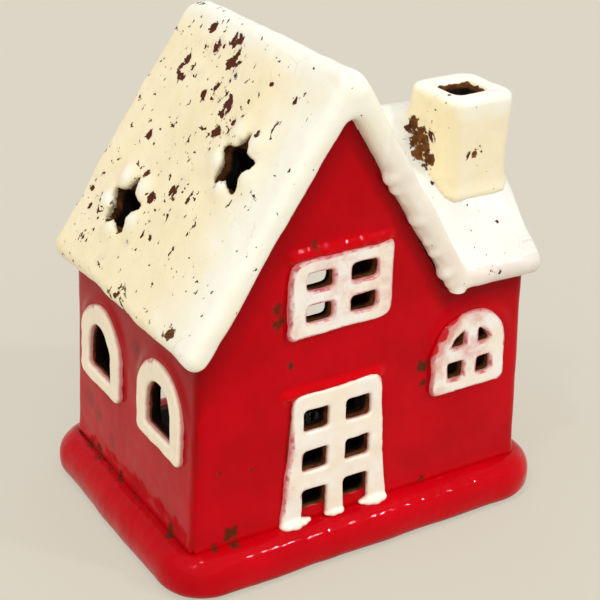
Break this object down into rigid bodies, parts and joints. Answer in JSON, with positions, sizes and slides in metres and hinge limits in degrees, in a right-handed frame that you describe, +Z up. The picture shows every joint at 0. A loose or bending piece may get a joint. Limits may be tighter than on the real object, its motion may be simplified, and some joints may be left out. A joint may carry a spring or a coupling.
{
  "type": "tealight house",
  "caption": "Glazed earthenware tealight house with red walls, a cream steep roof with star cut-outs, a side wing, an open chimney and pierced windows, open at the back for a tealight.",
  "frame": {"origin": "on the table, under the middle of the plinth", "axes": "+Z up, -Y out of the front gable with the door, +X to the right of someone who faces the front"},
  "size_m": [0.123, 0.091, 0.1386],
  "materials": {
    "red_glaze": "glossy red glaze with brown bare spots along seams",
    "cream_glaze": "glossy cream glaze, pitted and crazed, thicker and whiter at rims",
    "cup_aluminium": "thin drawn aluminium, satin",
    "wax": "white paraffin wax, satin",
    "wick_cotton": "waxed cotton braid",
    "tinned_steel": "tinned steel, dull"
  },
  "bodies": {
    "house": {"plinth": "red_glaze", "front_wall": "red_glaze", "back_wall": "red_glaze", "left_wall": "red_glaze", "right_wall": "red_glaze", "gable_window_frame": "cream_glaze", "door_frame": "cream_glaze", "arched_window_frame": "cream_glaze", "left_window_frame_front": "cream_glaze", "left_window_frame_back": "cream_glaze", "main_roof_left": "cream_glaze", "main_roof_right": "cream_glaze", "wing_roof_front": "cream_glaze", "wing_roof_back": "cream_glaze", "chimney": "cream_glaze"},
    "tealight": {"tealight_cup": "cup_aluminium"},
    "candle": {"tealight_wax": "wax", "tealight_wick": "wick_cotton", "wick_sustainer": "tinned_steel"}
  },
  "joints": [
    {"name": "tealight_slide", "type": "slide", "parent": "house", "child": "tealight", "axis": [0, 1, 0], "range_m": [-0.02, 0.06]},
    {"name": "candle_lift", "type": "slide", "parent": "tealight", "child": "candle", "axis": [0, 0, 1], "range_m": [0, 0.02]}
  ]
}
